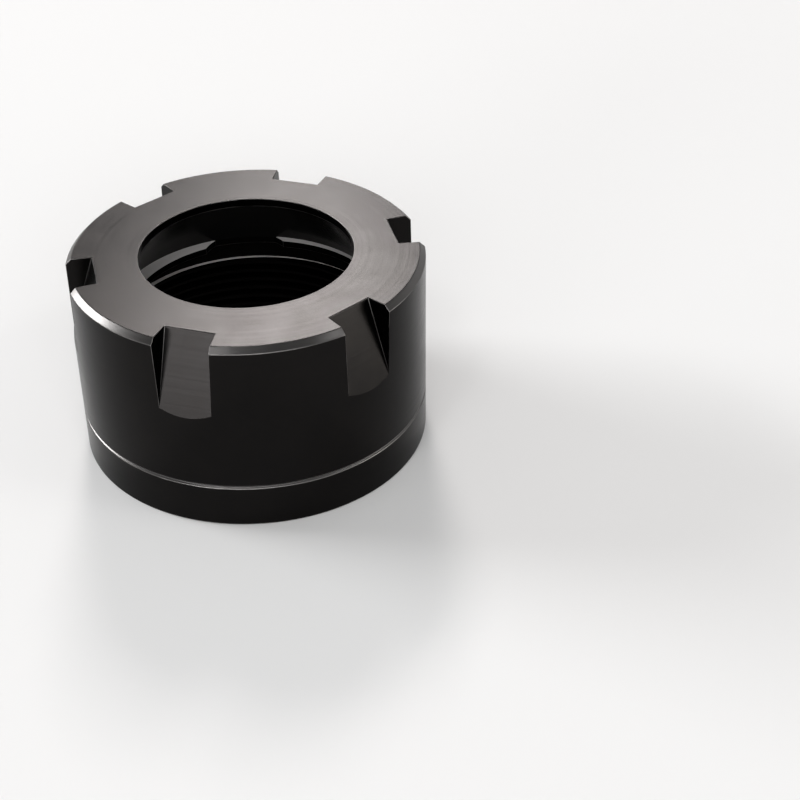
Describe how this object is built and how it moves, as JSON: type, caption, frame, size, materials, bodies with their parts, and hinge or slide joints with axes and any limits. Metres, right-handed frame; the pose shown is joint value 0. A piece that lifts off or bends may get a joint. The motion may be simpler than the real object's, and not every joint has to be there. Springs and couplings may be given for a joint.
{
  "type": "collet nut",
  "caption": "Cylindrical collet clamping nut with a coned front hole, an off-centre extraction lip, a rear internal thread and sloping wrench slots.",
  "frame": {"origin": "centre of the flat rear face, on the nut's axis", "axes": "+Z along the axis and out of the coned front face; +X through the middle of one wrench slot"},
  "size_m": [0.05, 0.05, 0.0288],
  "materials": {
    "black_oxide_steel": "black oxide, satin"
  },
  "bodies": {
    "root": {"collet_nut": "black_oxide_steel"}
  },
  "joints": []
}
